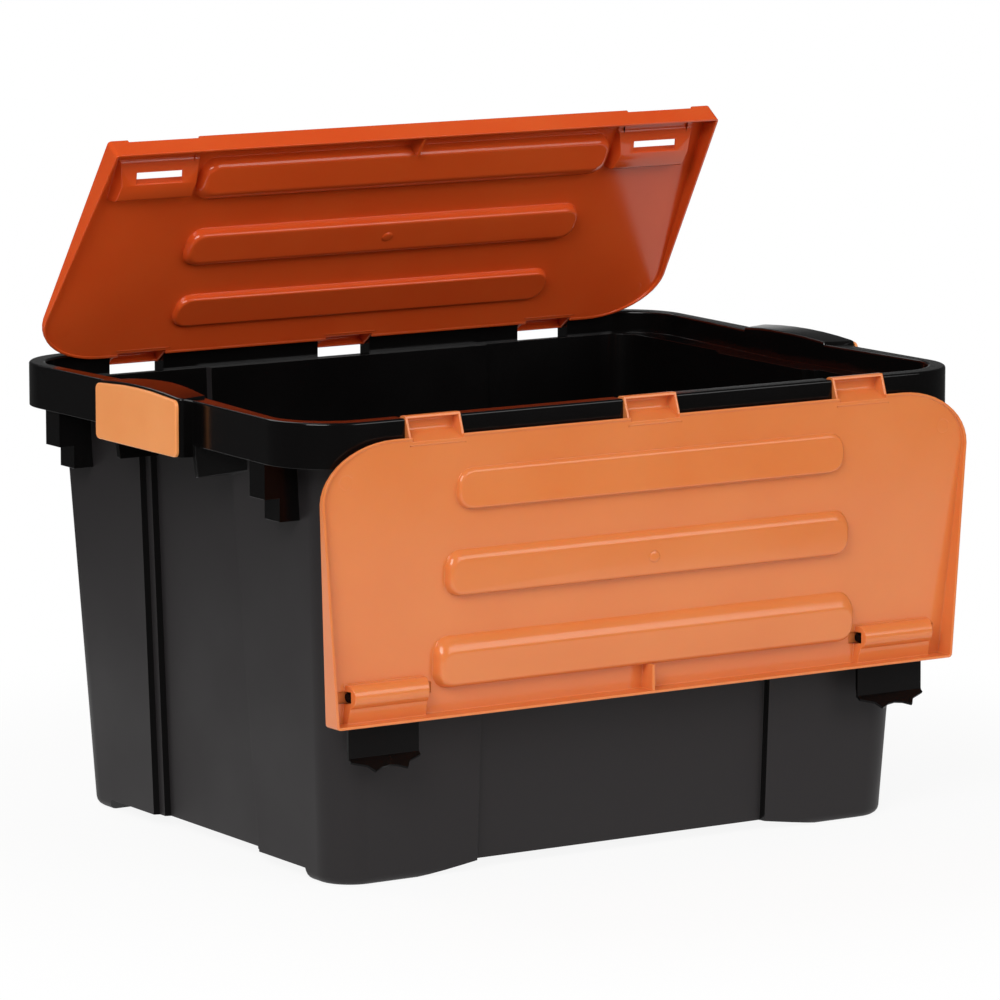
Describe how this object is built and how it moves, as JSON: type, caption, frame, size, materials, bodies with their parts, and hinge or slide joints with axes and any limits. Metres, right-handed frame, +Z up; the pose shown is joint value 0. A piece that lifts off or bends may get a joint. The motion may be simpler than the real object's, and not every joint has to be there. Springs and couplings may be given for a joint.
{
  "type": "storage box with hinged half-lids",
  "caption": "Stackable plastic storage box with a tapered tub, folded rim, hinged half-lids that meet in the middle, swinging latches and end handles.",
  "frame": {"origin": "on the floor under the middle of the tub, in the plane of the feet", "axes": "+X along the long side to the right of the latch side, +Y from the front lid to the rear lid, +Z up"},
  "size_m": [0.6052, 0.4503, 0.5142],
  "materials": {
    "tub": "satin",
    "lid": "satin",
    "latch": "gloss",
    "handle_plate": "satin"
  },
  "bodies": {
    "tub": {"tub": "tub", "handle_plate_left": "handle_plate", "handle_plate_right": "handle_plate"},
    "front_lid": {"front_lid": "lid"},
    "rear_lid": {"rear_lid": "lid"},
    "latch_left": {"latch_left": "latch"},
    "latch_right": {"latch_right": "latch"}
  },
  "joints": [
    {"name": "front_lid_hinge", "type": "hinge", "parent": "tub", "child": "front_lid", "pos_m": [0, -0.215, 0.3373], "axis": [1, 0, 0], "range_deg": [-269.1, 0]},
    {"name": "rear_lid_hinge", "type": "hinge", "parent": "tub", "child": "rear_lid", "pos_m": [0, 0.215, 0.3373], "axis": [-1, 0, 0], "range_deg": [-54.3, 214.8]},
    {"name": "latch_left_hinge", "type": "hinge", "parent": "front_lid", "child": "latch_left", "pos_m": [-0.222, -0.21648, 0.1453], "axis": [1, 0, 0], "range_deg": [0, 22]},
    {"name": "latch_right_hinge", "type": "hinge", "parent": "front_lid", "child": "latch_right", "pos_m": [0.222, -0.21648, 0.1453], "axis": [1, 0, 0], "range_deg": [0, 22]}
  ]
}
